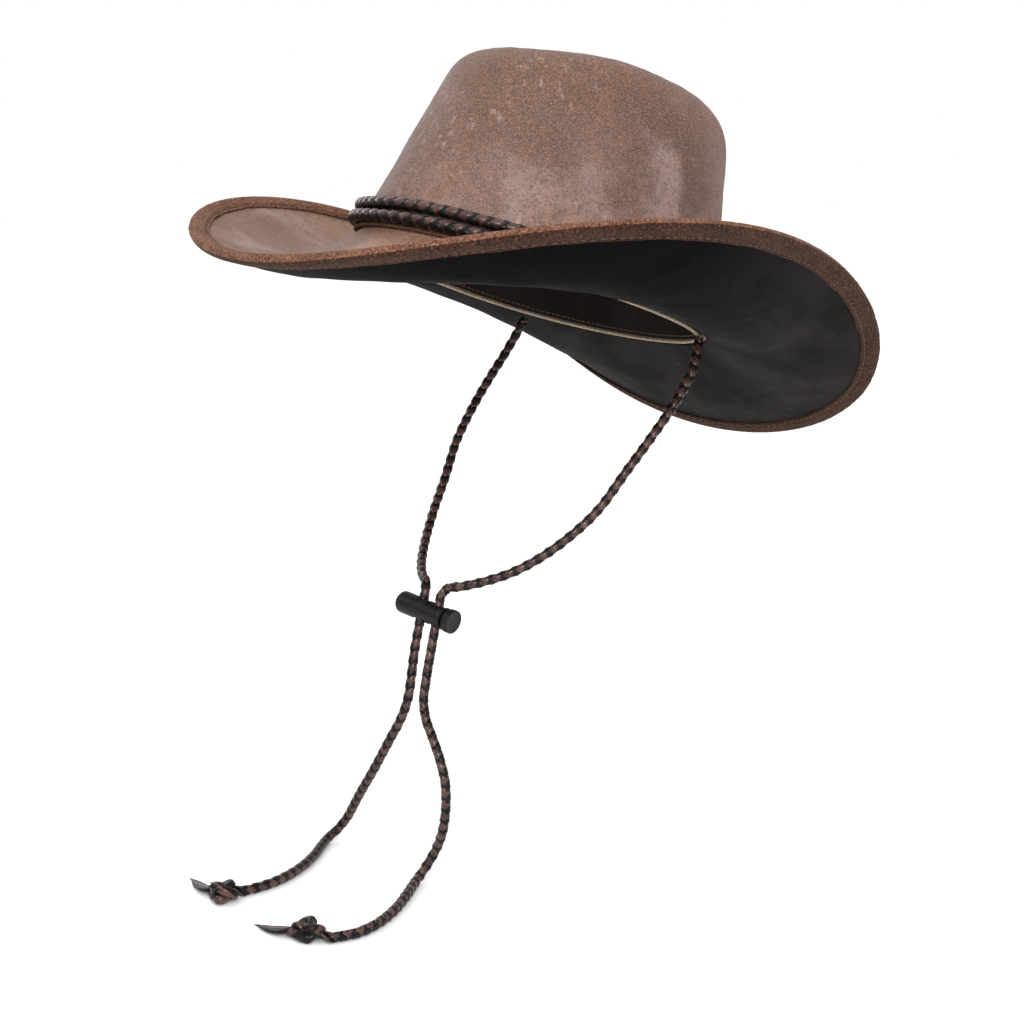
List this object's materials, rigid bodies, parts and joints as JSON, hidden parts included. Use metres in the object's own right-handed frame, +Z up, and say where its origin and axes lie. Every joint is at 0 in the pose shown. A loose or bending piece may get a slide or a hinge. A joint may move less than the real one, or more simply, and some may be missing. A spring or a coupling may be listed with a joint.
{
  "type": "cowboy hat",
  "caption": "Leather cowboy hat with rolled-up sides, dipped front and back, dished crown, braided hat band, bound edge, and a braided chin cord with a sprung cord lock",
  "frame": {"origin": "centre of the head opening, in the plane where the crown meets the brim", "axes": "+Z is up, -Y is the wearer's front, +X is the wearer's left; the hat is in its worn attitude, tipped back 17.5 degrees about X"},
  "size_m": [0.3387, 0.3418, 0.4218],
  "materials": {
    "brown_leather": "distressed, satin",
    "suede": "suede",
    "dark_leather": "matt",
    "braided_leather": "braided lace, satin",
    "pale_piping": "matt",
    "brown_thread": "matt",
    "black_plastic": "satin",
    "steel_wire": "drawn"
  },
  "bodies": {
    "hat": {"crown": "brown_leather", "brim_top": "brown_leather", "brim_underside": "dark_leather", "edge_binding": "suede", "edge_wire": "steel_wire", "binding_stitch_top": "brown_thread", "binding_stitch_underside": "brown_thread", "sweatband": "dark_leather", "sweatband_piping": "pale_piping", "sweatband_stitch": "brown_thread", "crown_seam_stitch": "brown_thread", "hat_band_lower": "braided_leather", "hat_band_upper": "braided_leather", "hat_band_tie": "braided_leather", "cord_anchor_left": "braided_leather", "cord_anchor_right": "braided_leather", "chin_cord_left": "braided_leather", "chin_cord_right": "braided_leather", "tail_knot_left": "braided_leather", "tail_ends_left": "braided_leather", "tail_knot_right": "braided_leather", "tail_ends_right": "braided_leather"},
    "cord_lock": {"lock_barrel": "black_plastic", "lock_spring": "steel_wire"},
    "button": {"lock_button": "black_plastic"}
  },
  "joints": [
    {"name": "lock_slide", "type": "slide", "parent": "hat", "child": "cord_lock", "axis": [0.0625, -0.2942, -0.9537], "range_m": [0, 0.012]},
    {"name": "button_press", "type": "slide", "parent": "cord_lock", "child": "button", "axis": [-0.9741, -0.1537, 0.1656], "range_m": [0, 0.002], "stiffness_N_per_m": 400, "springref_m": -0.002, "deforming": ["lock_spring"]}
  ]
}
